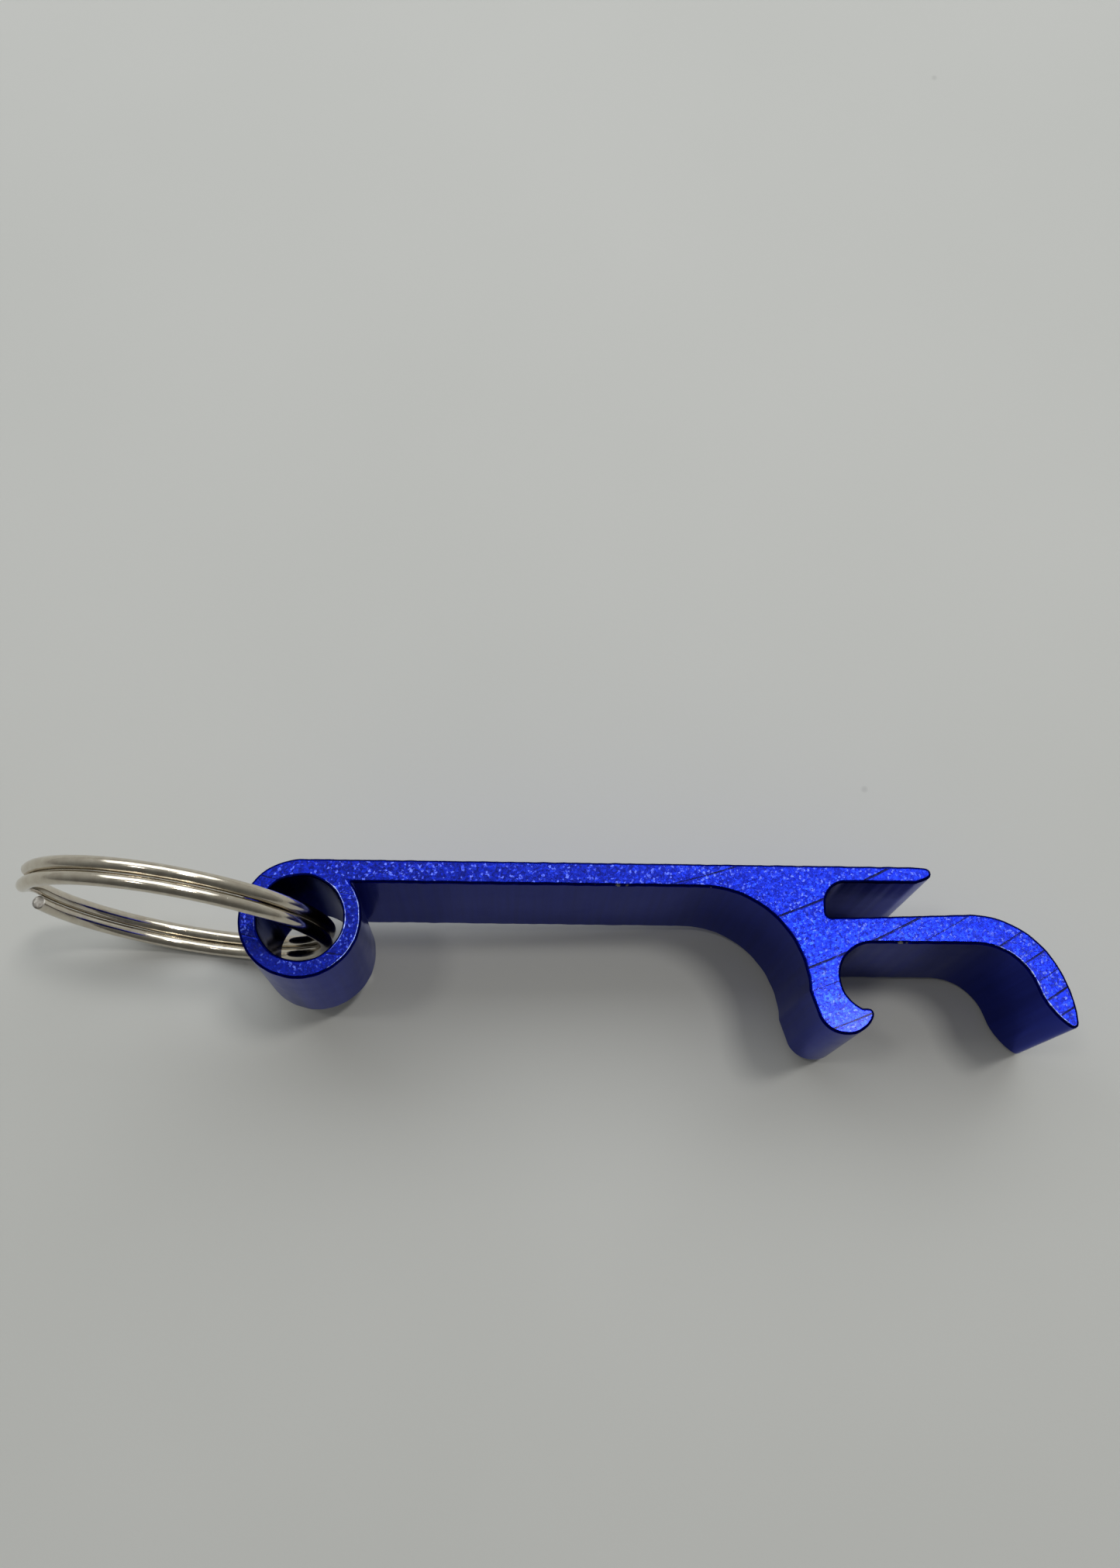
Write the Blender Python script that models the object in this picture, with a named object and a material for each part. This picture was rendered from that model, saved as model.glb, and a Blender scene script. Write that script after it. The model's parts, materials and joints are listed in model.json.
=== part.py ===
"""Keychain bottle opener: one aluminium extrusion, and the split ring through its eye.

The body is drawn in its own frame. X runs from the eye to the curved finger, Y runs from the
finger hollow to the straight back, and Z runs along the eye's axis, from one sawn face at z = 0
to the other. The split ring passes under the eye and props it up, so the pair is then leaned
until it rests on the ring, the blade's corner and the finger, with the table at z = 0.
"""

import math

import bpy
from mathutils import Quaternion, Vector

MM = 0.001

# Body, read along its outline
BODY_WIDTH = 12.7 * MM  # between the two sawn faces
EDGE_ROUNDING = 0.12 * MM  # tumbled edge round both sawn faces
EYE_RADIUS = 4.55 * MM
BORE_RADIUS = 3.2 * MM
HANDLE_THICKNESS = 1.8 * MM
HOLLOW_RADIUS = 7.8 * MM  # the concave rest for a finger, between handle and hook
HOLLOW_X = 29.9 * MM  # eye's axis to the centre of that rest
HOOK_WALL = 2.35 * MM  # between the finger rest and the cap mouth
HOOK_RADIUS = 2.2 * MM
HOOK_IN = 0.4 * MM  # hook's outer side in from the finger rest's
HOOK_DROP = 1.0 * MM  # hook's centre below the centre of the finger rest
HOOK_START_ANGLE = 205.0  # degrees, where the hook's round end begins
HOOK_TIP_RADIUS = 0.42 * MM
HOOK_TIP_ANGLE = 338.6  # degrees, direction of the tip from the hook's centre
HOOK_TIP_END_ANGLE = 450.0  # degrees, where the tip's rounding turns into the mouth
MOUTH_END_RADIUS = 2.55 * MM
MOUTH_END_ANGLE = 246.0  # degrees, where the mouth's round end meets the hook
MOUTH_ROOF_LENGTH = 7.8 * MM  # flat stretch that bears on the cap
WEB_THICKNESS = 1.9 * MM  # between the cap mouth and the tab slot
SLOT_HEIGHT = 2.75 * MM
SLOT_DEPTH = 8.23 * MM  # blade's edge to the closed end
SLOT_TOP_RADIUS = 1.65 * MM
SLOT_FLOOR_RADIUS = 0.4 * MM
SLOT_FLOOR_RISE = 0.4 * MM
BLADE_THICKNESS = 1.3 * MM
BLADE_NOSE_RADIUS = 0.43 * MM
BLADE_NOSE_DROP = 0.53 * MM  # nose's centre below the back
BLADE_NOSE_ANGLE = -62.0  # degrees, where the nose meets the bevelled underside
BLADE_TAPER_LENGTH = 1.15 * MM  # back's fall towards the nose's centre
BLADE_BEVEL_LENGTH = 1.18 * MM
FINGER_INNER_RADIUS = 4.5 * MM
FINGER_INNER_SWEEP = 73.0  # degrees
FINGER_FLARE_RADIUS = 5.6 * MM
FINGER_FLARE_SWEEP = 36.0  # degrees
FINGER_TIP_RADIUS = 0.4 * MM
FINGER_TIP_OUT = 0.41 * MM  # tip's centre beyond the flare's end
FINGER_TIP_UP = 0.21 * MM
FINGER_SHOULDER_RADIUS = 6.92 * MM
FINGER_SHOULDER_START = 29.0  # degrees
FINGER_SHOULDER_BACK = 0.2 * MM  # shoulder's centre behind the centre of the inner bend

# Split ring: two turns of round wire, with the crossover and both ends at the side away from the eye
RING_OUTER_RADIUS = 12.0 * MM
WIRE_DIAMETER = 1.05 * MM
COIL_GAP = 0.04 * MM  # between the two turns
RING_GAP = 0.3 * MM  # left between the ring and the eye where they touch
BORE_SIDE_GAP = 1.07 * MM  # left between the ring and the far side of the bore
RING_YAW = 7.8  # degrees, turn of the ring's plane about the eye's axis
RING_LEAN = 1.65  # degrees, lean of the ring's plane from the eye's axis
RING_SIDEWAYS = 1.37 * MM  # ring's centre off the body's X axis
FIRST_END_ANGLE = 152.0  # degrees, round the ring from the point deepest in the bore
LAST_END_ANGLE = 172.0  # degrees, the same, on the lower half

ARC_STEP = 7.5  # degrees between points on a round stretch
RING_STEP = 6.0  # degrees between points round the ring
SHARP_ANGLE = 30.0  # degrees, the least bend that is shaded as an edge
SEAM_DISTANCE = 0.001 * MM  # points closer than this are one point
LEANING_ROUNDS = 5  # the lean and the ring's lowest point each shift the other until they agree

BLUE_ANODISING = (0.02, 0.07, 0.55)
NICKEL_PLATE = (0.55, 0.53, 0.48)


def arc(centre, radius, start, end):
    """Points on an arc, from one angle to another in degrees."""
    steps = max(3, round(abs(end - start) / ARC_STEP))
    angles = [math.radians(start + (end - start) * i / steps) for i in range(steps + 1)]
    return [centre + radius * Vector((math.cos(a), math.sin(a))) for a in angles]


def polar(radius, degrees):
    return radius * Vector((math.cos(math.radians(degrees)), math.sin(math.radians(degrees))))


def body_outline():
    """The extrusion's outline, anticlockwise from the top of the eye."""
    back = EYE_RADIUS
    underside = back - HANDLE_THICKNESS
    hollow = Vector((HOLLOW_X, underside - HOLLOW_RADIUS))
    hook_left = hollow.x + HOLLOW_RADIUS
    hook = Vector((hook_left + HOOK_IN + HOOK_RADIUS, hollow.y - HOOK_DROP))
    hook_tip = hook + polar(HOOK_RADIUS - HOOK_TIP_RADIUS, HOOK_TIP_ANGLE)
    blade_underside = back - BLADE_THICKNESS
    slot_floor = blade_underside - SLOT_HEIGHT
    roof = slot_floor - WEB_THICKNESS
    mouth_end = Vector((hook_left + HOOK_WALL + MOUTH_END_RADIUS, roof - MOUTH_END_RADIUS))
    finger = Vector((mouth_end.x + MOUTH_ROOF_LENGTH, roof - FINGER_INNER_RADIUS))
    flare_start = 90.0 - FINGER_INNER_SWEEP
    flare = finger + polar(FINGER_INNER_RADIUS + FINGER_FLARE_RADIUS, flare_start)
    flare_end = flare + polar(FINGER_FLARE_RADIUS, 180.0 + flare_start + FINGER_FLARE_SWEEP)
    finger_tip = flare_end + Vector((FINGER_TIP_OUT, FINGER_TIP_UP))
    shoulder_top = slot_floor + SLOT_FLOOR_RISE
    shoulder = Vector((finger.x - FINGER_SHOULDER_BACK, shoulder_top - FINGER_SHOULDER_RADIUS))
    shoulder_end = shoulder + polar(FINGER_SHOULDER_RADIUS, FINGER_SHOULDER_START)
    side_right = finger_tip.x + FINGER_TIP_RADIUS
    side_in = side_right - shoulder_end.x
    side_up = shoulder_end.y - finger_tip.y
    side_radius = (side_in**2 + side_up**2) / (2 * side_in)
    side = Vector((side_right - side_radius, finger_tip.y))
    side_sweep = math.degrees(math.atan2(side_up, shoulder_end.x - side.x))
    slot_end = hook_left + HOOK_WALL - SLOT_FLOOR_RISE * 2
    nose = Vector((slot_end + SLOT_DEPTH - BLADE_NOSE_RADIUS, back - BLADE_NOSE_DROP))
    taper_chord = BLADE_TAPER_LENGTH**2 + BLADE_NOSE_DROP**2 - BLADE_NOSE_RADIUS**2
    taper_radius = taper_chord / (2 * (BLADE_NOSE_DROP - BLADE_NOSE_RADIUS))
    taper = Vector((nose.x - BLADE_TAPER_LENGTH, back - taper_radius))
    taper_end = math.degrees(math.atan2(nose.y - taper.y, BLADE_TAPER_LENGTH))
    eye_end = 360.0 + math.degrees(math.asin(underside / EYE_RADIUS))
    outline = arc(Vector((0, 0)), EYE_RADIUS, 90, eye_end)
    outline += arc(hollow, HOLLOW_RADIUS, 90, 0)
    outline += arc(hook, HOOK_RADIUS, HOOK_START_ANGLE, HOOK_TIP_ANGLE)
    outline += arc(hook_tip, HOOK_TIP_RADIUS, HOOK_TIP_ANGLE, HOOK_TIP_END_ANGLE)
    outline += arc(mouth_end, MOUTH_END_RADIUS, MOUTH_END_ANGLE, 90)
    outline += arc(finger, FINGER_INNER_RADIUS, 90, flare_start)
    outline += arc(flare, FINGER_FLARE_RADIUS, 180 + flare_start, 180 + flare_start + FINGER_FLARE_SWEEP)
    outline += arc(finger_tip, FINGER_TIP_RADIUS, 180 + flare_start + FINGER_FLARE_SWEEP, 360)
    outline += arc(side, side_radius, 0, side_sweep)
    outline += arc(shoulder, FINGER_SHOULDER_RADIUS, FINGER_SHOULDER_START, 90)
    floor_corner = Vector((slot_end + SLOT_FLOOR_RADIUS, slot_floor + SLOT_FLOOR_RADIUS))
    outline += arc(floor_corner, SLOT_FLOOR_RADIUS, 270, 180)
    top_corner = Vector((slot_end + SLOT_TOP_RADIUS, blade_underside - SLOT_TOP_RADIUS))
    outline += arc(top_corner, SLOT_TOP_RADIUS, 180, 90)
    outline.append(Vector((nose.x + BLADE_NOSE_RADIUS - BLADE_BEVEL_LENGTH, blade_underside)))
    outline += arc(nose, BLADE_NOSE_RADIUS, BLADE_NOSE_ANGLE, taper_end)
    outline += arc(taper, taper_radius, taper_end, 90)
    return weld(outline)


def weld(points):
    """The outline without points that repeat their neighbour."""
    near = EDGE_ROUNDING / 2
    kept = []
    for p in points:
        if not kept or (p - kept[-1]).length > near:
            kept.append(p)
    if (kept[0] - kept[-1]).length <= near:
        kept.pop()
    return kept


def ring_axes():
    """The ring's axis, the direction from its centre to the bore, and the third direction."""
    yaw = Quaternion((0, 0, 1), math.radians(-RING_YAW))
    lean = Quaternion((1, 0, 0), math.radians(RING_LEAN))
    turn = yaw @ lean
    return turn @ Vector((0, 1, 0)), turn @ Vector((1, 0, 0)), turn @ Vector((0, 0, 1))


def ring_centre():
    """Where the ring's centre is when the eye's lower rim rests inside the ring."""
    x = BORE_RADIUS - BORE_SIDE_GAP - RING_OUTER_RADIUS
    reach = RING_OUTER_RADIUS - WIRE_DIAMETER - RING_GAP
    return Vector((x, RING_SIDEWAYS, math.sqrt(reach**2 - (x + BORE_RADIUS) ** 2)))


def ring_path():
    """The wire's centre line: one turn, the crossover, and the other turn beside it."""
    axis, out, up = ring_axes()
    centre = ring_centre()
    radius = RING_OUTER_RADIUS - WIRE_DIAMETER / 2
    shift = (WIRE_DIAMETER + COIL_GAP) / 2
    crossover_start = FIRST_END_ANGLE + LAST_END_ANGLE
    crossover_sweep = 360.0 - crossover_start
    sweep = 360.0 + crossover_start
    steps = round(sweep / RING_STEP)
    points = []
    for i in range(steps + 1):
        gone = sweep * i / steps
        crossed = min(1.0, max(0.0, (gone - crossover_start) / crossover_sweep))
        beside = shift * math.cos(math.pi * crossed)
        angle = math.radians(FIRST_END_ANGLE - gone)
        points.append(centre + radius * (math.cos(angle) * out + math.sin(angle) * up) + beside * axis)
    return points


def centroid(outline):
    """The middle of the area that an outline encloses."""
    area = 0.0
    middle = Vector((0, 0))
    for a, b in zip(outline, outline[1:] + outline[:1]):
        cross = a.x * b.y - a.y * b.x
        area += cross / 2
        middle += (a + b) * cross / 6
    return middle / area


def resting_turn(outline):
    """The turn that lays the pair down on the ring's lowest point and two points of the sawn face.

    Those two are the ends of the sawn face's outer edge that the line from the ring's contact
    through the body's middle crosses.
    """
    axis, _, _ = ring_axes()
    middle = centroid(outline)
    up = Vector((0, 0, 1))
    for _ in range(LEANING_ROUNDS):
        in_plane = (up - up.dot(axis) * axis).normalized()
        contact = ring_centre() - (RING_OUTER_RADIUS - WIRE_DIAMETER / 2) * in_plane - up * WIRE_DIAMETER / 2
        ahead = (middle - contact.xy).normalized()
        across = Vector((-ahead.y, ahead.x))
        places = [(p, (p - contact.xy).dot(ahead), (p - contact.xy).dot(across)) for p in outline]
        left = [p for p in places if p[2] > 0]
        right = [p for p in places if p[2] <= 0]
        pairs = [((l[1] * r[2] - r[1] * l[2]) / (r[2] - l[2]), l[0], r[0]) for l in left for r in right]
        _, a, b = max(pairs, key=lambda pair: pair[0])
        up = (b.to_3d() - contact).cross(a.to_3d() - contact).normalized()
    return up.rotation_difference(Vector((0, 0, 1)))


def material(name, colour, roughness, metallic):
    made = bpy.data.materials.new(name)
    made.use_nodes = True
    shader = made.node_tree.nodes["Principled BSDF"]
    shader.inputs["Base Color"].default_value = (*colour, 1.0)
    shader.inputs["Roughness"].default_value = roughness
    shader.inputs["Metallic"].default_value = metallic
    return made


def add_spline(curve, points, closed):
    spline = curve.splines.new("POLY")
    spline.points.add(len(points) - 1)
    for place, p in zip(spline.points, points):
        place.co = (*p.to_3d(), 1.0)
    spline.use_cyclic_u = closed


def mesh_object(name, curve, look, collection):
    """A solid from a curve, with its seams welded."""
    drawn = bpy.data.objects.new(name + "_curve", curve)
    collection.objects.link(drawn)
    bpy.context.view_layer.update()
    mesh = bpy.data.meshes.new_from_object(drawn.evaluated_get(bpy.context.evaluated_depsgraph_get()))
    bpy.data.objects.remove(drawn)
    mesh.name = name
    mesh.materials.clear()
    mesh.materials.append(look)
    mesh.shade_smooth()
    mesh.set_sharp_from_angle(angle=math.radians(SHARP_ANGLE))
    solid = bpy.data.objects.new(name, mesh)
    collection.objects.link(solid)
    weld_modifier = solid.modifiers.new("weld", "WELD")
    weld_modifier.merge_threshold = SEAM_DISTANCE
    return solid


def make_body(outline, collection):
    """The extrusion: its outline and its bore, thickened to the body's width."""
    curve = bpy.data.curves.new("body_outline", "CURVE")
    curve.dimensions = "2D"
    curve.fill_mode = "BOTH"
    curve.extrude = BODY_WIDTH / 2 - EDGE_ROUNDING
    curve.bevel_depth = EDGE_ROUNDING
    curve.bevel_resolution = 0
    curve.offset = -EDGE_ROUNDING
    add_spline(curve, outline, True)
    add_spline(curve, arc(Vector((0, 0)), BORE_RADIUS, 0, 360 - ARC_STEP), True)
    look = material("anodised_blue", BLUE_ANODISING, roughness=0.35, metallic=1.0)
    return mesh_object("opener_body", curve, look, collection)


def make_ring(collection):
    """The split ring's wire, with its object's origin on the eye's axis."""
    curve = bpy.data.curves.new("ring_wire", "CURVE")
    curve.dimensions = "3D"
    curve.fill_mode = "FULL"
    curve.bevel_depth = WIRE_DIAMETER / 2
    curve.bevel_resolution = 2
    curve.use_fill_caps = True
    middle = Vector((0, 0, BODY_WIDTH / 2))
    add_spline(curve, [p - middle for p in ring_path()], False)
    look = material("nickel_plate", NICKEL_PLATE, roughness=0.22, metallic=1.0)
    return mesh_object("split_ring", curve, look, collection)


def main():
    for old in list(bpy.data.objects):
        bpy.data.objects.remove(old)
    collection = bpy.data.collections.new("keychain_bottle_opener")
    bpy.context.scene.collection.children.link(collection)
    outline = body_outline()
    body = make_body(outline, collection)
    ring = make_ring(collection)
    stand = bpy.data.objects.new("resting_pose", None)
    collection.objects.link(stand)
    stand.rotation_mode = "QUATERNION"
    stand.rotation_quaternion = resting_turn(outline)
    for solid in (body, ring):
        solid.parent = stand
        solid.location = (0, 0, BODY_WIDTH / 2)
    bpy.context.view_layer.update()
    corners = [o.matrix_world @ v.co for o in (body, ring) for v in o.data.vertices]
    low = Vector([min(c[i] for c in corners) for i in range(3)])
    high = Vector([max(c[i] for c in corners) for i in range(3)])
    stand.location = (-(low.x + high.x) / 2, -(low.y + high.y) / 2, -low.z)
    bpy.context.view_layer.update()


main()
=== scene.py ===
import json
import math

import bpy
import bmesh
from mathutils import Euler, Matrix, Vector, noise


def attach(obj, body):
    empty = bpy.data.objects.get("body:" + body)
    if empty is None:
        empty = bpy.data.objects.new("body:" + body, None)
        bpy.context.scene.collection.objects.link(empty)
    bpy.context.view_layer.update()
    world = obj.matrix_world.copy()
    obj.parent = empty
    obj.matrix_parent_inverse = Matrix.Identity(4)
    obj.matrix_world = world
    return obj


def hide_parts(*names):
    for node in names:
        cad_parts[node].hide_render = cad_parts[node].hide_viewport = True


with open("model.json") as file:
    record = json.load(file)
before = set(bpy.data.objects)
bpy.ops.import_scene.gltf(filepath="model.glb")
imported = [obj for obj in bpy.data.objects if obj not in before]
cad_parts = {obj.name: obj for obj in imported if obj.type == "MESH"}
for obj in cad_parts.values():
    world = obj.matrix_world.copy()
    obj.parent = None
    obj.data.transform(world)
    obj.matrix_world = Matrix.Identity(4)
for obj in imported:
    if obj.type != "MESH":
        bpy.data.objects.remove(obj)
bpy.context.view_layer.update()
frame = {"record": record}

MM = 0.001

# ---------------------------------------------------------------- the body's own frame
# X runs from the eye to the finger, Y to the straight back, Z along the eye's axis, from the
# lower sawn face at 0. The ring's joint gives where that frame stands at rest.
BODY_WIDTH = 12.7
joint = next(j for j in frame["record"]["behaviour"]["joints"] if j["name"] == "ring_swing")
turn = Vector((0, 0, 1)).rotation_difference(Vector(joint["axis"])).to_matrix().to_4x4()
BODY_FRAME = Matrix.Translation(joint["pos_m"]) @ turn @ Matrix.Translation((0, 0, -BODY_WIDTH / 2 * MM))

# body sizes, in millimetres
EYE_RADIUS = 4.55
BORE_RADIUS = 3.2
HANDLE_THICKNESS = 1.8
HOLLOW_RADIUS = 7.8
HOLLOW_X = 29.9
HOOK_WALL = 2.35
HOOK_RADIUS = 2.2
HOOK_IN = 0.4
HOOK_DROP = 1.0
HOOK_START_ANGLE = 205.0
HOOK_TIP_RADIUS = 0.42
HOOK_TIP_ANGLE = 338.6
HOOK_TIP_END_ANGLE = 450.0
MOUTH_END_RADIUS = 2.55
MOUTH_END_ANGLE = 246.0
MOUTH_ROOF_LENGTH = 7.8
WEB_THICKNESS = 1.9
SLOT_HEIGHT = 2.75
SLOT_DEPTH = 8.23
SLOT_TOP_RADIUS = 1.65
SLOT_FLOOR_RADIUS = 0.4
SLOT_FLOOR_RISE = 0.4
BLADE_THICKNESS = 1.3
BLADE_NOSE_RADIUS = 0.43
BLADE_NOSE_DROP = 0.53
BLADE_NOSE_ANGLE = -62.0
BLADE_TAPER_LENGTH = 1.15
BLADE_BEVEL_LENGTH = 1.18
FINGER_INNER_RADIUS = 4.5
FINGER_INNER_SWEEP = 73.0
FINGER_FLARE_RADIUS = 5.6
FINGER_FLARE_SWEEP = 36.0
FINGER_TIP_RADIUS = 0.4
FINGER_TIP_OUT = 0.41
FINGER_TIP_UP = 0.21
FINGER_SHOULDER_RADIUS = 6.92
FINGER_SHOULDER_START = 29.0
FINGER_SHOULDER_BACK = 0.2

# ring sizes, in millimetres
RING_OUTER_RADIUS = 12.0
WIRE_DIAMETER = 1.05
COIL_GAP = 0.04
RING_GAP = 0.3
BORE_SIDE_GAP = 1.07
RING_YAW = 7.8
RING_LEAN = 1.65
RING_SIDEWAYS = 1.37
FIRST_END_ANGLE = 152.0
LAST_END_ANGLE = 172.0

# fineness and finish, in millimetres
POINT_SPACING = 0.22
EDGE_ROUNDING = 0.2
SUPPORT = 0.05  # from a rounded edge to the first line across the walls
SEAM_DISTANCE = 0.002  # points closer than this are one point
FLATNESS = 0.005  # how far a face may be from the sawn faces' planes and still be part of them
OUTLINE_WAVER = 0.035
BORE_WAVER = 0.05
WIRE_DENT = 0.012  # share of the wire's radius
RING_STEP = 1.25  # degrees between points round the ring
WIRE_SIDES = 28
TIP_SHARP_ANGLE = 50.0  # degrees, the least bend of the wire's ends that is shaded as an edge


def arc(centre, radius, start, end):
    """Points on an arc, from one angle to another in degrees, evenly spaced."""
    length = abs(math.radians(end - start)) * radius
    steps = max(4, round(length / POINT_SPACING))
    angles = [math.radians(start + (end - start) * i / steps) for i in range(steps + 1)]
    return [centre + radius * Vector((math.cos(a), math.sin(a))) for a in angles]


def polar(radius, degrees):
    return radius * Vector((math.cos(math.radians(degrees)), math.sin(math.radians(degrees))))


def body_outline():
    """The extrusion's outline, anticlockwise from the top of the eye."""
    back = EYE_RADIUS
    underside = back - HANDLE_THICKNESS
    hollow = Vector((HOLLOW_X, underside - HOLLOW_RADIUS))
    hook_left = hollow.x + HOLLOW_RADIUS
    hook = Vector((hook_left + HOOK_IN + HOOK_RADIUS, hollow.y - HOOK_DROP))
    hook_tip = hook + polar(HOOK_RADIUS - HOOK_TIP_RADIUS, HOOK_TIP_ANGLE)
    blade_underside = back - BLADE_THICKNESS
    slot_floor = blade_underside - SLOT_HEIGHT
    roof = slot_floor - WEB_THICKNESS
    mouth_end = Vector((hook_left + HOOK_WALL + MOUTH_END_RADIUS, roof - MOUTH_END_RADIUS))
    finger = Vector((mouth_end.x + MOUTH_ROOF_LENGTH, roof - FINGER_INNER_RADIUS))
    flare_start = 90.0 - FINGER_INNER_SWEEP
    flare = finger + polar(FINGER_INNER_RADIUS + FINGER_FLARE_RADIUS, flare_start)
    flare_end = flare + polar(FINGER_FLARE_RADIUS, 180.0 + flare_start + FINGER_FLARE_SWEEP)
    finger_tip = flare_end + Vector((FINGER_TIP_OUT, FINGER_TIP_UP))
    shoulder_top = slot_floor + SLOT_FLOOR_RISE
    shoulder = Vector((finger.x - FINGER_SHOULDER_BACK, shoulder_top - FINGER_SHOULDER_RADIUS))
    shoulder_end = shoulder + polar(FINGER_SHOULDER_RADIUS, FINGER_SHOULDER_START)
    side_right = finger_tip.x + FINGER_TIP_RADIUS
    side_in = side_right - shoulder_end.x
    side_up = shoulder_end.y - finger_tip.y
    side_radius = (side_in**2 + side_up**2) / (2 * side_in)
    side = Vector((side_right - side_radius, finger_tip.y))
    side_sweep = math.degrees(math.atan2(side_up, shoulder_end.x - side.x))
    slot_end = hook_left + HOOK_WALL - SLOT_FLOOR_RISE * 2
    nose = Vector((slot_end + SLOT_DEPTH - BLADE_NOSE_RADIUS, back - BLADE_NOSE_DROP))
    taper_chord = BLADE_TAPER_LENGTH**2 + BLADE_NOSE_DROP**2 - BLADE_NOSE_RADIUS**2
    taper_radius = taper_chord / (2 * (BLADE_NOSE_DROP - BLADE_NOSE_RADIUS))
    taper = Vector((nose.x - BLADE_TAPER_LENGTH, back - taper_radius))
    taper_end = math.degrees(math.atan2(nose.y - taper.y, BLADE_TAPER_LENGTH))
    eye_end = 360.0 + math.degrees(math.asin(underside / EYE_RADIUS))
    floor_corner = Vector((slot_end + SLOT_FLOOR_RADIUS, slot_floor + SLOT_FLOOR_RADIUS))
    top_corner = Vector((slot_end + SLOT_TOP_RADIUS, blade_underside - SLOT_TOP_RADIUS))
    flare_from = 180 + flare_start
    flare_to = flare_from + FINGER_FLARE_SWEEP
    outline = arc(Vector((0, 0)), EYE_RADIUS, 90, eye_end)
    outline += arc(hollow, HOLLOW_RADIUS, 90, 0)
    outline += arc(hook, HOOK_RADIUS, HOOK_START_ANGLE, HOOK_TIP_ANGLE)
    outline += arc(hook_tip, HOOK_TIP_RADIUS, HOOK_TIP_ANGLE, HOOK_TIP_END_ANGLE)
    outline += arc(mouth_end, MOUTH_END_RADIUS, MOUTH_END_ANGLE, 90)
    outline += arc(finger, FINGER_INNER_RADIUS, 90, flare_start)
    outline += arc(flare, FINGER_FLARE_RADIUS, flare_from, flare_to)
    outline += arc(finger_tip, FINGER_TIP_RADIUS, flare_to, 360)
    outline += arc(side, side_radius, 0, side_sweep)
    outline += arc(shoulder, FINGER_SHOULDER_RADIUS, FINGER_SHOULDER_START, 90)
    outline += arc(floor_corner, SLOT_FLOOR_RADIUS, 270, 180)
    outline += arc(top_corner, SLOT_TOP_RADIUS, 180, 90)
    outline.append(Vector((nose.x + BLADE_NOSE_RADIUS - BLADE_BEVEL_LENGTH, blade_underside)))
    outline += arc(nose, BLADE_NOSE_RADIUS, BLADE_NOSE_ANGLE, taper_end)
    outline += arc(taper, taper_radius, taper_end, 90)
    return outline


def even(points, spacing=POINT_SPACING):
    """A closed outline with no long gaps and no repeated points."""
    kept = []
    for a, b in zip(points, points[1:] + points[:1]):
        length = (b - a).length
        if length < spacing * 0.3:
            continue
        steps = max(1, round(length / spacing))
        kept += [a.lerp(b, i / steps) for i in range(steps)]
    return kept


def waver(points, size, scale, seed):
    """The outline with the slight unevenness of a drawn and tumbled edge."""
    out = []
    for a, p, b in zip(points[-1:] + points[:-1], points, points[1:] + points[:1]):
        along = (b - a).normalized()
        across = Vector((along.y, -along.x))
        out.append(p + across * size * noise.noise(Vector((p.x * scale, p.y * scale, seed))))
    return out


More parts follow.
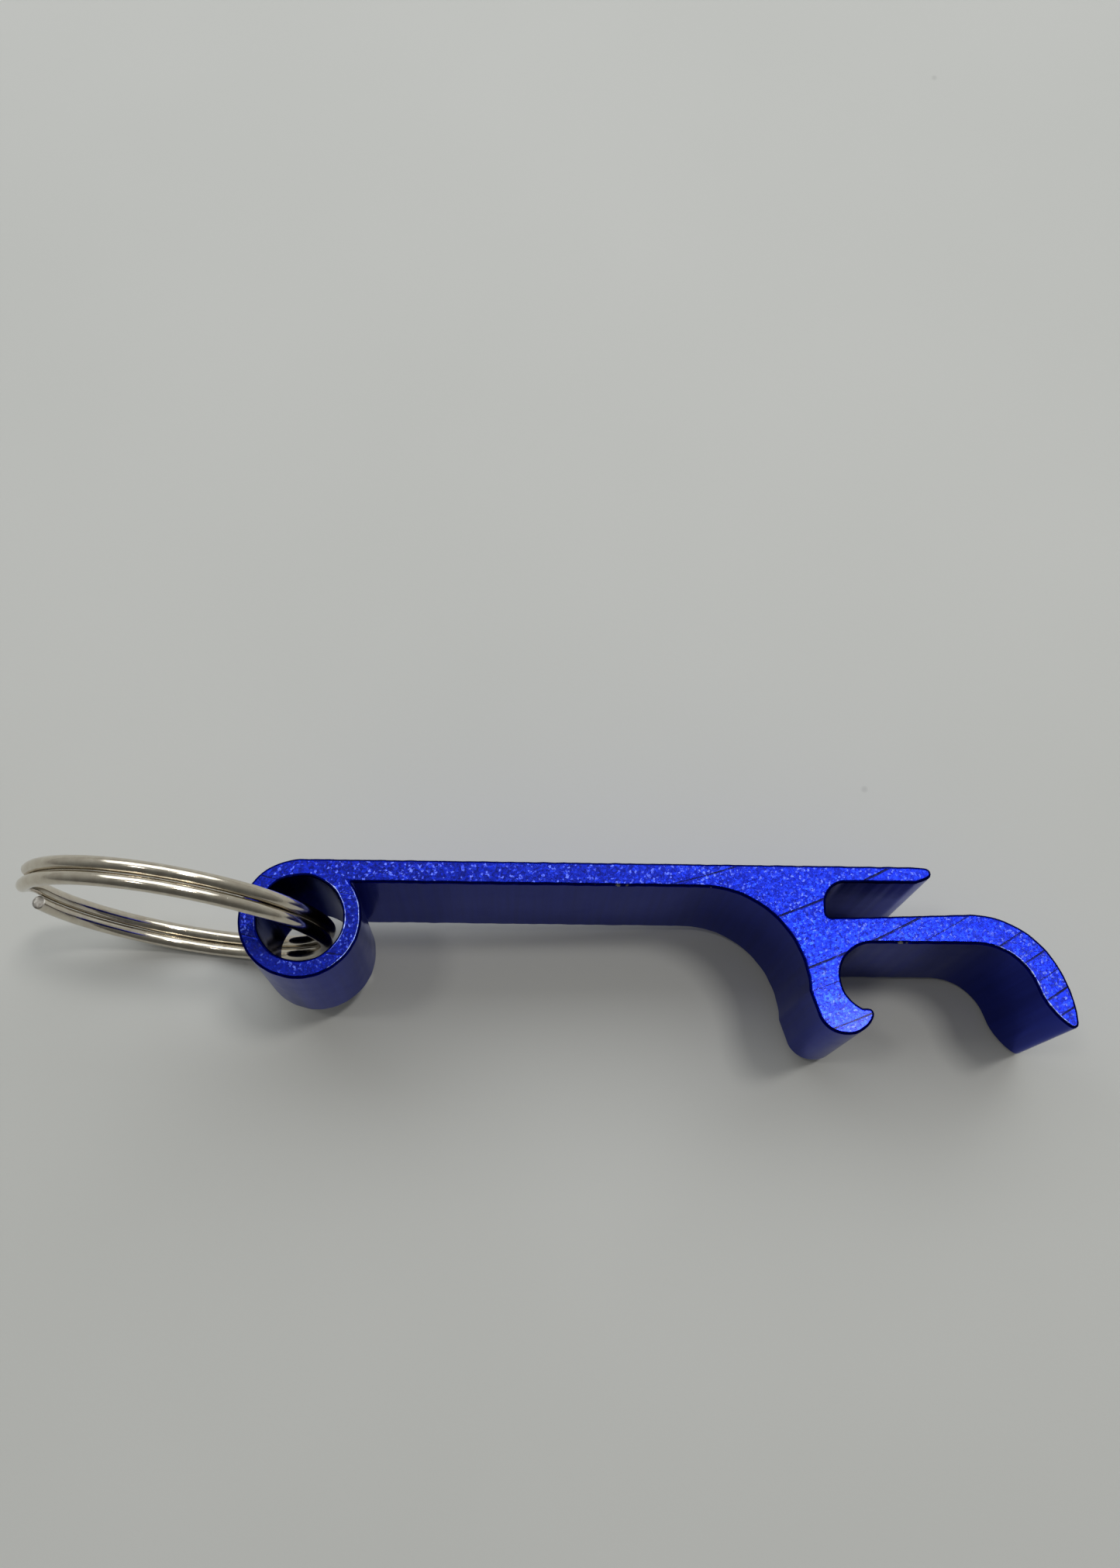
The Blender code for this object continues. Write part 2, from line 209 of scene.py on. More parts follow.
# ---------------------------------------------------------------- node helpers
class Nodes:
    """Short calls for building a node tree."""

    def __init__(self, tree):
        self.tree = tree
        tree.nodes.clear()

    def add(self, kind, **values):
        node = self.tree.nodes.new(kind)
        for key, value in values.items():
            setattr(node, key, value)
        return node

    def link(self, a, b):
        self.tree.links.new(a, b)

    def put(self, socket, value):
        if hasattr(value, "is_output"):
            self.link(value, socket)
        else:
            socket.default_value = value

    def math(self, operation, a, b=None):
        node = self.add("ShaderNodeMath", operation=operation)
        for socket, value in zip(node.inputs, (a, b)):
            if value is not None:
                self.put(socket, value)
        return node.outputs[0]

    def vector(self, operation, a, b=None):
        node = self.add("ShaderNodeVectorMath", operation=operation)
        self.put(node.inputs[0], a)
        if b is not None:
            self.put(node.inputs[1], b)
        return node.outputs["Value"] if operation == "LENGTH" else node.outputs[0]

    def noise(self, vector, scale, detail, roughness):
        node = self.add("ShaderNodeTexNoise")
        self.link(vector, node.inputs["Vector"])
        node.inputs["Scale"].default_value = scale
        node.inputs["Detail"].default_value = detail
        node.inputs["Roughness"].default_value = roughness
        return node.outputs["Fac"]

    def voronoi(self, vector, scale, output="Distance"):
        """The distance to the nearest of scattered points, or that point's own random colour."""
        node = self.add("ShaderNodeTexVoronoi")
        self.link(vector, node.inputs["Vector"])
        node.inputs["Scale"].default_value = scale
        return node.outputs[output]

    def range(self, value, a, b, c=0.0, d=1.0, smooth=False):
        """A value between a and b, spread over c to d."""
        node = self.add("ShaderNodeMapRange", clamp=True)
        node.interpolation_type = "SMOOTHSTEP" if smooth else "LINEAR"
        self.put(node.inputs["Value"], value)
        for name, number in zip(("From Min", "From Max", "To Min", "To Max"), (a, b, c, d)):
            node.inputs[name].default_value = number
        return node.outputs["Result"]

    def mix(self, factor, a, b):
        node = self.add("ShaderNodeMix", data_type="RGBA")
        self.put(node.inputs["Factor"], factor)
        self.put(node.inputs[6], a)
        self.put(node.inputs[7], b)
        return node.outputs[2]

    def bump(self, height, strength, distance, normal=None):
        node = self.add("ShaderNodeBump")
        self.link(height, node.inputs["Height"])
        node.inputs["Strength"].default_value = strength
        node.inputs["Distance"].default_value = distance
        if normal is not None:
            self.link(normal, node.inputs["Normal"])
        return node.outputs[0]

    def noise_colour(self, vector, scale):
        node = self.add("ShaderNodeTexNoise")
        self.link(vector, node.inputs["Vector"])
        node.inputs["Scale"].default_value = scale
        return node.outputs["Color"]

    def local_mm(self, stretch=(1.0, 1.0, 1.0)):
        """Coordinates in the body's frame, in millimetres."""
        place = self.add("ShaderNodeMapping", vector_type="TEXTURE")
        self.link(self.add("ShaderNodeTexCoord").outputs["Object"], place.inputs["Vector"])
        place.inputs["Location"].default_value = BODY_FRAME.translation
        place.inputs["Rotation"].default_value = BODY_FRAME.to_euler("XYZ")
        factor = tuple(1.0 / MM * s for s in stretch)
        return self.vector("MULTIPLY", place.outputs[0], factor)

    def facets(self, vector, scale, tilt):
        """A normal that leans its own way in each small grain, and the grain's random colour."""
        cell = self.voronoi(vector, scale, "Color")
        lean = self.vector("SUBTRACT", cell, (0.5, 0.5, 0.5))
        lean = self.vector("MULTIPLY", lean, (tilt, tilt, tilt))
        start = self.add("ShaderNodeNewGeometry").outputs["Normal"]
        return self.vector("NORMALIZE", self.vector("ADD", start, lean)), cell


def new_material(name):
    made = bpy.data.materials.new(name)
    made.use_nodes = True
    return made, Nodes(made.node_tree)


def surface(n, colour, roughness, metallic=1.0, normal=None, **sockets):
    """A Principled surface as the material's output."""
    shader = n.add("ShaderNodeBsdfPrincipled")
    out = n.add("ShaderNodeOutputMaterial")
    n.link(shader.outputs[0], out.inputs["Surface"])
    n.put(shader.inputs["Base Color"], colour)
    n.put(shader.inputs["Roughness"], roughness)
    shader.inputs["Metallic"].default_value = metallic
    if normal is not None:
        n.link(normal, shader.inputs["Normal"])
    for name, value in sockets.items():
        n.put(shader.inputs[name.replace("_", " ")], value)


# ---------------------------------------------------------------- materials
GRAIN_DARK = (0.0008, 0.007, 0.3, 1)
# painted glints: a pale blue for scattered flecks on the sawn grain
GRAIN_BRIGHT = (0.014, 0.045, 0.66, 1)
GRAIN_PAINTED_GLINT = (0.16, 0.24, 0.9, 1)
SAWN_PATCH = (0.004, 0.016, 0.42, 1)
SAW_MARK_BLUE = (0.0005, 0.002, 0.08, 1)
GRIT_DARK = (0.12, 0.12, 0.11, 1)
GRIT_PALE = (0.3, 0.3, 0.27, 1)
WALL_DARK = (0.008, 0.014, 0.24, 1)
WALL_BRIGHT = (0.014, 0.024, 0.32, 1)
WALL_MOTTLE = (0.02, 0.03, 0.3, 1)
WALL_TINT = (0.6, 0.63, 0.86, 1)
# painted shade: the bore is coloured darker, and its reflections tinted darker, than the outer walls, for
# the shade inside the eye; the lighter streaks are its die scores
BORE_PAINTED_SHADE = (0.002, 0.004, 0.05, 1)
BORE_SCORED_IN_SHADE = (0.02, 0.03, 0.12, 1)
BORE_SHADE_TINT = (0.3, 0.32, 0.5, 1)
# painted shade: the tumbled edge is coloured dark, and its reflections tinted dark, for the dark
# reflection it shows; lighter where worn
EDGE_PAINTED_SHADE = (0.001, 0.004, 0.13, 1)
EDGE_WORN = (0.003, 0.014, 0.32, 1)
EDGE_SHADE_TINT = (0.06, 0.08, 0.35, 1)
# painted highlight: pale blues for the bright lines along some upper edges, laid on thin burr lips
BURR_HIGHLIGHT_DIM = (0.04, 0.1, 0.8, 1)
BURR_HIGHLIGHT_BRIGHT = (0.55, 0.66, 1.0, 1)
NICKEL_DARK = (0.6, 0.54, 0.45, 1)
NICKEL_BRIGHT = (0.7, 0.65, 0.55, 1)
NICKEL_PIT = (0.25, 0.22, 0.18, 1)
TORN_DARK = (0.3, 0.27, 0.24, 1)
TORN_BRIGHT = (0.62, 0.6, 0.56, 1)
FLOOR_DARK = (0.545, 0.55, 0.53, 1)
FLOOR_PALE = (0.57, 0.573, 0.555, 1)
FLOOR_SPECK = (0.2, 0.2, 0.2, 1)

SAW_CENTRE = (12.77, 63.04, 0.0)  # of the saw marks' arcs, in the body's frame, in millimetres
# radius, width, depth of each saw mark
SAW_MARKS = (
    (57.4, 0.05, 0.35),
    (61.93, 0.07, 0.6),
    (66.55, 0.1, 1.0),
    (70.9, 0.1, 1.0),
    (72.6, 0.05, 0.35),
    (75.66, 0.08, 0.7),
    (77.68, 0.08, 0.9),
    (79.3, 0.05, 0.4),
    (80.75, 0.09, 1.0),
    (82.18, 0.08, 0.9),
)
# chips and trapped grit: place in the body's frame, and size, in millimetres
CHIPS = (
    ((44.7, -1.45, 12.65), 0.26),
    ((45.15, -1.4, 12.65), 0.12),
    ((23.6, 2.75, 12.65), 0.2),
    ((24.3, 2.78, 12.65), 0.12),
    ((21.9, 2.74, 12.65), 0.1),
    ((30.6, 2.7, 12.65), 0.12),
)


def chips(n, place):
    """How far each point is inside a chip, from 0 to 1."""
    ragged = n.math("MULTIPLY", n.noise(place, 7.0, 3, 0.6), 0.3)
    found = None
    for at, size in CHIPS:
        off = n.math("ADD", n.vector("LENGTH", n.vector("SUBTRACT", place, at)), ragged)
        inside = n.range(off, size + 0.05, size + 0.15, 1, 0)
        found = inside if found is None else n.math("MAXIMUM", found, inside)
    return found


def sawn_blue():
    """Sawn, etched and anodised: sparkling grain crossed by the saw's arcs, with paler flecks painted in
    as glints.
    """
    made, n = new_material("sawn_anodised_blue")
    place = n.local_mm()
    flat = n.vector("MULTIPLY", place, (1, 1, 0))
    radius = n.vector("LENGTH", n.vector("SUBTRACT", flat, SAW_CENTRE))
    broken = n.range(n.noise(place, 0.9, 3, 0.6), 0.35, 0.6)
    marks = None
    for at, width, depth in SAW_MARKS:
        off = n.math("ABSOLUTE", n.math("SUBTRACT", radius, at))
        mark = n.range(off, 0, width, depth, 0, smooth=True)
        marks = mark if marks is None else n.math("MAXIMUM", marks, mark)
    marks = n.math("MULTIPLY", marks, n.math("ADD", n.math("MULTIPLY", broken, 0.6), 0.4))
    fine = n.add("ShaderNodeTexNoise", noise_dimensions="1D")
    n.link(radius, fine.inputs["W"])
    fine.inputs["Scale"].default_value = 7.0
    fine.inputs["Detail"].default_value = 3.0
    drift = n.vector("SUBTRACT", n.noise_colour(place, 3.0), (0.5, 0.5, 0.5))
    warped = n.vector("ADD", place, n.vector("MULTIPLY", drift, (0.3, 0.3, 0.3)))
    grains, cell = n.facets(warped, 6.0, 0.085)
    small = n.noise(warped, 8.0, 4, 0.65)
    relief = n.bump(small, 0.1, 0.04 * MM, grains)
    relief = n.bump(fine.outputs["Fac"], 0.05, 0.05 * MM, relief)
    relief = n.bump(n.math("MULTIPLY", marks, -1), 1.0, 0.08 * MM, relief)
    glint = n.add("ShaderNodeSeparateColor")
    n.link(cell, glint.inputs[0])
    tone = n.math("ADD", n.range(small, 0.4, 0.75, 0, 0.5), n.range(glint.outputs[0], 0.6, 1.0, 0, 0.5))
    patch = n.range(n.noise(place, 0.35, 3, 0.55), 0.3, 0.7)
    colour = n.mix(tone, GRAIN_DARK, GRAIN_BRIGHT)
    # paler flecks painted in as glints on some grains
    painted_glint = n.math("MULTIPLY", n.range(glint.outputs[1], 0.86, 0.93), n.range(small, 0.42, 0.55))
    colour = n.mix(n.math("MULTIPLY", painted_glint, 0.7), colour, GRAIN_PAINTED_GLINT)
    colour = n.mix(n.math("MULTIPLY", patch, 0.3), colour, SAWN_PATCH)
    colour = n.mix(n.math("MULTIPLY", marks, 0.92), colour, SAW_MARK_BLUE)
    colour = n.mix(chips(n, place), colour, GRIT_DARK)
    rough = n.range(small, 0.3, 0.7, 0.17, 0.24)
    surface(n, colour, rough, normal=relief, Coat_Weight=0.3, Coat_Roughness=0.13, Coat_IOR=1.6)
    return made


def wall_blue():
    """Extruded and anodised: satin, with faint die lines along the extrusion."""
    made, n = new_material("extruded_anodised_blue")
    lines = n.local_mm((1.0, 1.0, 0.02))
    place = n.local_mm()
    die = n.noise(lines, 2.6, 4, 0.6)
    mottle = n.noise(place, 0.5, 3, 0.5)
    fine = n.noise(place, 12.0, 3, 0.6)
    relief = n.bump(die, 0.2, 0.04 * MM)
    relief = n.bump(fine, 0.06, 0.02 * MM, relief)
    colour = n.mix(n.range(die, 0.35, 0.65), WALL_DARK, WALL_BRIGHT)
    colour = n.mix(n.math("MULTIPLY", n.range(mottle, 0.4, 0.75), 0.35), colour, WALL_MOTTLE)
    rough = n.range(mottle, 0.3, 0.7, 0.16, 0.23)
    surface(n, colour, rough, normal=relief, Specular_Tint=WALL_TINT)
    return made


def bore_blue():
    """Inside the eye: the same finish with painted shade, coloured and tinted darker than the walls,
    scored along the bore by the die.
    """
    made, n = new_material("bore_anodised_painted_shade")
    lines = n.local_mm((1.0, 1.0, 0.015))
    die = n.noise(lines, 5.0, 4, 0.65)
    score = n.range(die, 0.56, 0.68)
    relief = n.bump(die, 0.3, 0.04 * MM)
    # painted shade inside the bore, lighter along the die scores
    colour = n.mix(score, BORE_PAINTED_SHADE, BORE_SCORED_IN_SHADE)
    surface(n, colour, 0.2, normal=relief, Specular_Tint=BORE_SHADE_TINT)
    return made


def edge_blue():
    """The tumbled edge between sawn face and wall: smooth, with painted shade, coloured and tinted dark
    for the dark reflection a rounded edge shows, worn bright in places.
    """
    made, n = new_material("tumbled_edge_painted_shade")
    place = n.local_mm()
    worn = n.range(n.noise(place, 1.7, 4, 0.65), 0.56, 0.74)
    # painted shade along the edge, lighter in the worn places
    colour = n.mix(worn, EDGE_PAINTED_SHADE, EDGE_WORN)
    colour = n.mix(chips(n, place), colour, GRIT_PALE)
    relief = n.bump(n.noise(place, 9.0, 3, 0.6), 0.35, 0.03 * MM)
    surface(n, colour, 0.24, normal=relief, Specular_Tint=EDGE_SHADE_TINT)
    return made


def burr_blue():
    """Fine burrs along some edges, coloured pale blue as a painted highlight along the edges that catch
    the light.
    """
    made, n = new_material("burr_painted_highlight")
    place = n.local_mm()
    tone = n.range(n.noise(place, 6.0, 3, 0.6), 0.35, 0.65)
    # painted highlight along the burr
    colour = n.mix(tone, BURR_HIGHLIGHT_DIM, BURR_HIGHLIGHT_BRIGHT)
    relief = n.bump(n.noise(place, 20.0, 2, 0.6), 0.5, 0.02 * MM)
    surface(n, colour, 0.3, normal=relief)
    return made


def nickel():
    """Nickel-plated wire, burnished by handling."""
    made, n = new_material("nickel_plate")
    place = n.local_mm()
    along = n.add("ShaderNodeUVMap", uv_map="wire").outputs[0]
    drawn = n.noise(n.vector("MULTIPLY", along, (0.25, 7.0, 1.0)), 1.0, 4, 0.6)
    mottle = n.noise(place, 1.4, 3, 0.5)
    pits = n.voronoi(place, 2.3)
    pit = n.range(pits, 0.04, 0.09, 1.0, 0.0)
    relief = n.bump(drawn, 0.1, 0.02 * MM)
    relief = n.bump(mottle, 0.12, 0.05 * MM, relief)
    relief = n.bump(pit, 0.25, -0.02 * MM, relief)
    colour = n.mix(n.range(mottle, 0.35, 0.7), NICKEL_DARK, NICKEL_BRIGHT)
    colour = n.mix(n.math("MULTIPLY", pit, 0.4), colour, NICKEL_PIT)
    rough = n.range(mottle, 0.3, 0.7, 0.12, 0.18)
    surface(n, colour, rough, normal=relief)
    return made


def cut_wire():
    """The sheared ends of the wire: grey, torn and dull."""
    made, n = new_material("sheared_wire_end")
    place = n.local_mm()
    tear = n.noise(n.local_mm((1.0, 1.0, 4.0)), 3.0, 4, 0.65)
    relief = n.bump(tear, 0.6, 0.06 * MM)
    relief = n.bump(n.noise(place, 12.0, 3, 0.6), 0.4, 0.02 * MM, relief)
    colour = n.mix(n.range(tear, 0.35, 0.7), TORN_DARK, TORN_BRIGHT)
    surface(n, colour, 0.42, normal=relief)
    return made


def floor_material():
    """A matt pale table top, with faint specks."""
    made, n = new_material("pale_table")
    place = n.vector("MULTIPLY", n.add("ShaderNodeTexCoord").outputs["Object"], (1 / MM, 1 / MM, 1 / MM))
    tone = n.range(n.noise(place, 0.02, 3, 0.5), 0.3, 0.7)
    colour = n.mix(tone, FLOOR_DARK, FLOOR_PALE)
    specks = n.range(n.voronoi(place, 0.07), 0.012, 0.03, 0.35, 0)
    colour = n.mix(specks, colour, FLOOR_SPECK)
    relief = n.bump(n.noise(place, 3.0, 4, 0.6), 0.05, 0.1 * MM)
    surface(n, colour, 0.55, metallic=0.0, normal=relief)
    return made


SAWN, WALL, EDGE, BURR, BORE = sawn_blue(), wall_blue(), edge_blue(), burr_blue(), bore_blue()
NICKEL, SHEARED = nickel(), cut_wire()


def mesh_of(curve):
    """The mesh that a curve makes."""
    drawn = bpy.data.objects.new("drawn", curve)
    bpy.context.scene.collection.objects.link(drawn)
    bpy.context.view_layer.update()
    mesh = bpy.data.meshes.new_from_object(drawn.evaluated_get(bpy.context.evaluated_depsgraph_get()))
    bpy.data.objects.remove(drawn)
    return mesh


# ---------------------------------------------------------------- opener body
SAWN_FACE, WALL_FACE, EDGE_FACE, BORE_FACE = range(4)


def face_kind(face):
    """Which of the body's four finishes a face has."""
    heights = [v.co.z / MM for v in face.verts]
    low, high = min(heights), max(heights)
    if low > BODY_WIDTH - FLATNESS or high < FLATNESS:
        return SAWN_FACE
    rounded = EDGE_ROUNDING * 1.02
    if low > BODY_WIDTH - rounded or high < rounded:
        return EDGE_FACE
    if face.calc_center_median().xy.length < (BORE_RADIUS + EDGE_ROUNDING / 2) * MM:
        return BORE_FACE
    return WALL_FACE


def body_mesh():
    """The extrusion with its tumbled edges, in the body's frame."""
    curve = bpy.data.curves.new("outline", "CURVE")
    curve.dimensions = "2D"
    curve.fill_mode = "BOTH"
    curve.extrude = (BODY_WIDTH / 2 - EDGE_ROUNDING) * MM
    curve.bevel_depth = EDGE_ROUNDING * MM
    curve.bevel_resolution = 2
    curve.offset = -EDGE_ROUNDING * MM
    outer = waver(even(body_outline()), OUTLINE_WAVER, 1.3, 4.0)
    bore = waver(arc(Vector((0, 0)), BORE_RADIUS, 0, 360)[:-1], BORE_WAVER, 0.9, 9.0)
    for points in (outer, bore):
        spline = curve.splines.new("POLY")
        spline.points.add(len(points) - 1)
        for place, p in zip(spline.points, points):
            place.co = (p.x * MM, p.y * MM, 0, 1)
        spline.use_cyclic_u = True
    mesh = mesh_of(curve)
    edit = bmesh.new()
    edit.from_mesh(mesh)
    bmesh.ops.remove_doubles(edit, verts=edit.verts, dist=SEAM_DISTANCE * MM)
    bmesh.ops.translate(edit, verts=edit.verts, vec=(0, 0, BODY_WIDTH / 2 * MM))
    bmesh.ops.recalc_face_normals(edit, faces=edit.faces)
    for height in (EDGE_ROUNDING + SUPPORT, BODY_WIDTH - EDGE_ROUNDING - SUPPORT):
        parts = edit.verts[:] + edit.edges[:] + edit.faces[:]
        bmesh.ops.bisect_plane(edit, geom=parts, plane_co=(0, 0, height * MM), plane_no=(0, 0, 1))
    for face in edit.faces:
        face.material_index = face_kind(face)
    edit.to_mesh(mesh)
    edit.free()
    for m in (SAWN, WALL, EDGE, BORE):
        mesh.materials.append(m)
    for face in mesh.polygons:
        face.use_smooth = face.material_index != SAWN_FACE
    return mesh, outer, bore


def stand(name, mesh):
    """An object from a mesh made in the body's frame, with its place in its vertices."""
    mesh.transform(BODY_FRAME)
    made = bpy.data.objects.new(name, mesh)
    bpy.context.scene.collection.objects.link(made)
    return made


mesh, outer, bore = body_mesh()
body = stand("opener_body_fine", mesh)
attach(body, "opener")
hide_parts("opener_body")


# ---------------------------------------------------------------- split ring
# towards the middle of a sheared end: share of the wire's radius, and how far it stands out
SHEARED_STEPS = ((0.93, 0.03), (0.6, 0.05), (0.3, 0.05))


def ring_axes():
    """The ring's axis, the direction from its centre to the bore, and the third direction."""
    yaw = Matrix.Rotation(math.radians(-RING_YAW), 3, "Z")
    lean = Matrix.Rotation(math.radians(RING_LEAN), 3, "X")
    turned = yaw @ lean
    return turned @ Vector((0, 1, 0)), turned @ Vector((1, 0, 0)), turned @ Vector((0, 0, 1))


def ring_path(step):
    """Centre line of the wire, in the body's frame."""
    axis, out, up = ring_axes()
    x = BORE_RADIUS - BORE_SIDE_GAP - RING_OUTER_RADIUS
    reach = RING_OUTER_RADIUS - WIRE_DIAMETER - RING_GAP
    centre = Vector((x, RING_SIDEWAYS, math.sqrt(reach**2 - (x + BORE_RADIUS) ** 2)))
    radius = RING_OUTER_RADIUS - WIRE_DIAMETER / 2
    shift = (WIRE_DIAMETER + COIL_GAP) / 2
    crossover_start = FIRST_END_ANGLE + LAST_END_ANGLE
    crossover_sweep = 360.0 - crossover_start
    sweep = 360.0 + crossover_start
    steps = round(sweep / step)
    points = []
    for i in range(steps + 1):
        gone = sweep * i / steps
        crossed = min(1.0, max(0.0, (gone - crossover_start) / crossover_sweep))
        beside = shift * math.cos(math.pi * crossed)
        angle = math.radians(FIRST_END_ANGLE - gone)
        points.append(centre + radius * (math.cos(angle) * out + math.sin(angle) * up) + beside * axis)
    return points, axis


def wire_mesh(path, axis, radius):
    """A round wire along a path, with sheared ends, in metres."""
    sides = WIRE_SIDES
    edit = bmesh.new()
    uv = edit.loops.layers.uv.new("wire")
    rings, lengths, gone = [], [], 0.0
    for i, p in enumerate(path):
        ahead = (path[min(i + 1, len(path) - 1)] - path[max(i - 1, 0)]).normalized()
        side = (axis - axis.dot(ahead) * ahead).normalized()
        out = ahead.cross(side)
        if i:
            gone += (p - path[i - 1]).length
        lengths.append(gone)
        ring = []
        for k in range(sides):
            a = 2 * math.pi * k / sides
            d = math.cos(a) * side + math.sin(a) * out
            dent = 1 + WIRE_DENT * noise.noise(Vector((gone * 0.8, math.cos(a) * 1.2, math.sin(a) * 1.2)))
            ring.append(edit.verts.new((p + d * radius * dent) * MM))
        rings.append(ring)
    for i in range(len(rings) - 1):
        for k in range(sides):
            j = (k + 1) % sides
            face = edit.faces.new((rings[i][k], rings[i][j], rings[i + 1][j], rings[i + 1][k]))
            face.smooth = True
            for loop, (u, v) in zip(face.loops, ((i, k), (i, k + 1), (i + 1, k + 1), (i + 1, k))):
                loop[uv].uv = (lengths[u], v / sides)
    first_end = (rings[0], path[0], path[0] - path[1])
    last_end = (rings[-1], path[-1], path[-1] - path[-2])
    for ring, inner, outward in (first_end, last_end):
        forward = outward.normalized()
        previous = ring
        for share, push in SHEARED_STEPS:
            now = []
            for v in ring:
                p = v.co / MM
                rough = 0.035 * noise.noise(p * 2.3 + Vector((share * 5, 0, 0)))
                now.append(edit.verts.new((inner + (p - inner) * share + forward * (push + rough)) * MM))
            for k in range(sides):
                j = (k + 1) % sides
                face = edit.faces.new((previous[k], previous[j], now[j], now[k]))
                face.material_index = 1
                face.smooth = True
            previous = now
        face = edit.faces.new(previous)
        face.material_index = 1
    bmesh.ops.recalc_face_normals(edit, faces=edit.faces)
    made = bpy.data.meshes.new("split_ring_fine")
    edit.to_mesh(made)
    edit.free()
    made.materials.append(NICKEL)
    made.materials.append(SHEARED)
    made.set_sharp_from_angle(angle=math.radians(TIP_SHARP_ANGLE))
    return made


path, ring_axis = ring_path(RING_STEP)
ring = stand("split_ring_fine", wire_mesh(path, ring_axis, WIRE_DIAMETER / 2))
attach(ring, "ring")
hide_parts("split_ring")


# ---------------------------------------------------------------- burrs, with painted highlights
def round_eye(p):
    """A point's direction from the eye's centre, in degrees."""
    return math.degrees(math.atan2(p.y, p.x))


def burr(name, points, thickness, seed):
    """A thin uneven lip of metal along part of an upper edge, coloured as a painted highlight."""
    curve = bpy.data.curves.new(name, "CURVE")
    curve.dimensions = "3D"
    curve.bevel_depth = thickness * MM
    curve.bevel_resolution = 2
    curve.use_fill_caps = True
    spline = curve.splines.new("POLY")
    spline.points.add(len(points) - 1)
    for i, (place, p) in enumerate(zip(spline.points, points)):
        lift = 0.02 * noise.noise(Vector((i * 0.35, seed, 0)))
        place.co = (p.x * MM, p.y * MM, (BODY_WIDTH + lift) * MM, 1)
        ends = min(i, len(points) - 1 - i) / 4
        swell = 0.6 + 0.8 * noise.noise(Vector((i * 0.5, seed, 3)))
        place.radius = max(0.05, min(1.0, ends) * swell)
    lip = mesh_of(curve)
    lip.materials.clear()
    lip.materials.append(BURR)
    made = stand(name, lip)
    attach(made, "opener")


def inset(points, amount):
    """The outline moved inwards, for an outline that runs anticlockwise."""
    out = []
    for a, p, b in zip(points[-1:] + points[:-1], points, points[1:] + points[:1]):
        along = (b - a).normalized()
        out.append(p + Vector((-along.y, along.x)) * amount)
    return out


inner_edge = inset(outer, EDGE_ROUNDING * 0.9)
bore_edge = inset(bore, -EDGE_ROUNDING * 0.9)


def stretch(points, test):
    """The longest run of points that pass a test."""
    doubled = points + points
    best, run = [], []
    for p in doubled:
        if test(p):
            run.append(p)
            if len(run) > len(best):
                best = list(run)
        else:
            run = []
        if len(best) >= len(points):
            break
    return best


roof = EYE_RADIUS - BLADE_THICKNESS - SLOT_HEIGHT - WEB_THICKNESS
finger_x = HOLLOW_X + HOLLOW_RADIUS + HOOK_WALL + MOUTH_END_RADIUS + MOUTH_ROOF_LENGTH
FINGER_CENTRE = Vector((finger_x, roof - FINGER_INNER_RADIUS))
FLARE_CENTRE = FINGER_CENTRE + polar(FINGER_INNER_RADIUS + FINGER_FLARE_RADIUS, 90 - FINGER_INNER_SWEEP)


def on_finger(p):
    """Whether a point is on the finger's inner edge, from its bend to its tip."""
    inner = abs((p - FINGER_CENTRE).length - FINGER_INNER_RADIUS) < 0.4 and p.x > FINGER_CENTRE.x + 1.2
    flare = abs((p - FLARE_CENTRE).length - FINGER_FLARE_RADIUS) < 0.4 and p.x < FLARE_CENTRE.x
    return p.y < -1.2 and (inner or flare)


bore_right = stretch(bore_edge, lambda p: -48 < round_eye(p) < 62)
bore_left = stretch(bore_edge, lambda p: round_eye(p) > 172 or round_eye(p) < -160)
eye_right = stretch(inner_edge, lambda p: p.x < 5 and -60 < round_eye(p) < 36)
# burr lips coloured as painted highlights, along the edges that catch the light
burr("bore_burr_highlight", bore_right, 0.065, 1.0)
burr("bore_left_burr_highlight", bore_left, 0.035, 5.0)
burr("eye_burr_highlight", eye_right, 0.06, 2.0)
burr("finger_burr_highlight", stretch(inner_edge, on_finger), 0.07, 3.0)


# ---------------------------------------------------------------- floor, light and camera
FLOOR_SIZE = 3.0
FLOOR_DROP = 0.02  # kept below the ring, in millimetres
at = (0, 0, -FLOOR_DROP * MM)
bpy.ops.mesh.primitive_grid_add(x_subdivisions=20, y_subdivisions=20, size=FLOOR_SIZE, location=at)
floor = bpy.context.object
floor.name = "floor"
floor.data.materials.append(floor_material())


def area_light(name, place, target, wide, deep, power, colour):
    lamp = bpy.data.lights.new(name, "AREA")
    lamp.shape = "RECTANGLE"
    lamp.size = wide
    lamp.size_y = deep
    lamp.energy = power
    lamp.color = colour
    made = bpy.data.objects.new(name, lamp)
    bpy.context.scene.collection.objects.link(made)
    made.location = place
    made.rotation_euler = (Vector(target) - Vector(place)).to_track_quat("-Z", "Y").to_euler()


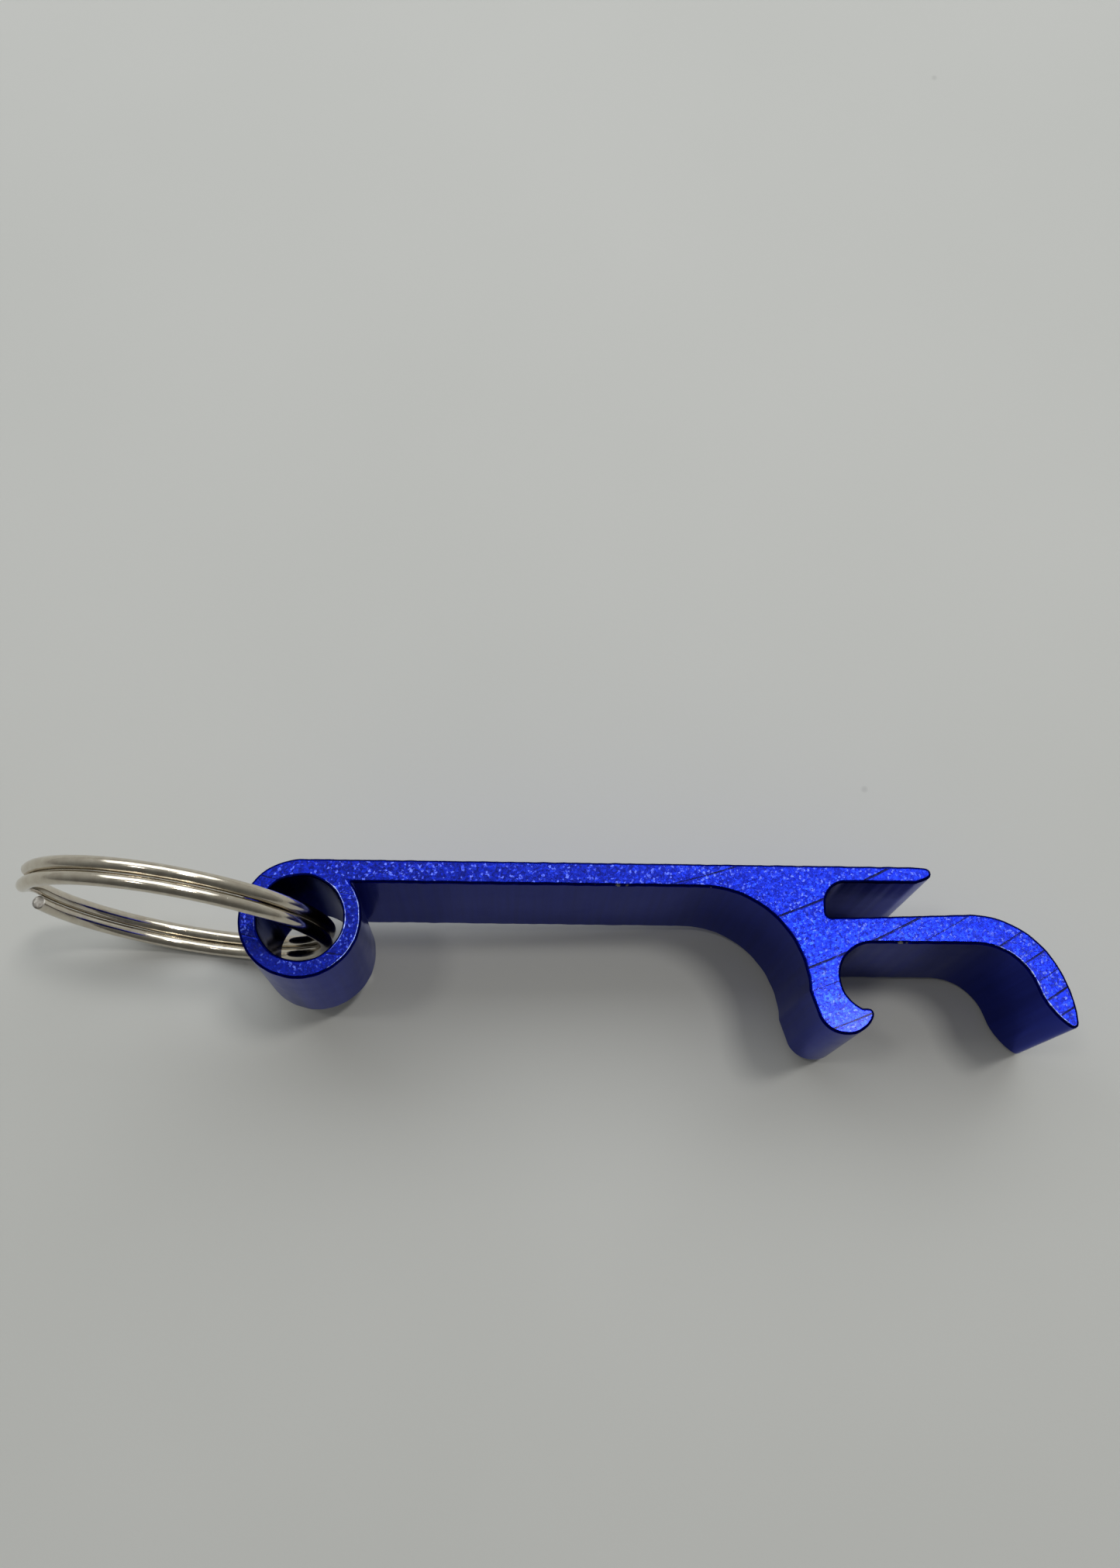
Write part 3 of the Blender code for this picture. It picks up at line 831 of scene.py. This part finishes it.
LAMP_DISTANCE = 2.0
LAMP_COLOUR = (1.0, 0.98, 0.94)
WINDOW_PLACE = (0.0, 0.32, 0.37)
WINDOW_TARGET = (0.0, 0.04, 0.0)
WINDOW_COLOUR = (0.95, 0.98, 1.0)
SKY_COLOUR = (0.99, 1.0, 0.96, 1)
SKY_NEAR, SKY_FAR = 0.1, 0.42  # the room's brightness in front of the table and beyond it
# towards each lamp, in the body's frame, then its width, depth and power
for name, towards, wide, deep, power in (
    ("lamp_right", (0.255, 0.09, 0.96), 0.15, 0.32, 7.0),
    ("lamp_left", (-0.36, -0.01, 0.94), 0.14, 0.25, 2.2),
):
    way = (BODY_FRAME.to_3x3() @ Vector(towards)).normalized()
    area_light(name, way * LAMP_DISTANCE, (0, 0, 0), wide, deep, power, LAMP_COLOUR)
area_light("far_window", WINDOW_PLACE, WINDOW_TARGET, 0.7, 0.3, 1.35, WINDOW_COLOUR)

world = bpy.data.worlds.new("studio")
bpy.context.scene.world = world
world.use_nodes = True
w = Nodes(world.node_tree)
direction = w.add("ShaderNodeTexCoord").outputs["Generated"]
split = w.add("ShaderNodeSeparateXYZ")
w.link(direction, split.inputs[0])
glow = w.range(split.outputs["Y"], -0.8, 0.8, SKY_NEAR, SKY_FAR, smooth=True)
background = w.add("ShaderNodeBackground")
w.put(background.inputs["Color"], SKY_COLOUR)
w.link(glow, background.inputs["Strength"])
out = w.add("ShaderNodeOutputWorld")
w.link(background.outputs[0], out.inputs["Surface"])
bpy.context.scene.view_settings.view_transform = "Standard"

# the viewpoint, in the body's frame: place in millimetres, and turn about X, Y and Z in degrees
CAMERA_PLACE = (15.638, -25.049, 114.418)
CAMERA_TURN = (19.375, -2.091, 0.2116)
FOCAL_LENGTH = 32.237
camera = bpy.data.objects.new("camera", bpy.data.cameras.new("camera"))
bpy.context.scene.collection.objects.link(camera)
camera_turn = Euler([math.radians(a) for a in CAMERA_TURN]).to_matrix().to_4x4()
camera.matrix_world = BODY_FRAME @ Matrix.Translation(Vector(CAMERA_PLACE) * MM) @ camera_turn
camera.data.lens = FOCAL_LENGTH
camera.data.sensor_width = 36  # millimetres, like the focal length
camera.data.clip_start = 0.005
camera.data.clip_end = 20
bpy.context.scene.camera = camera
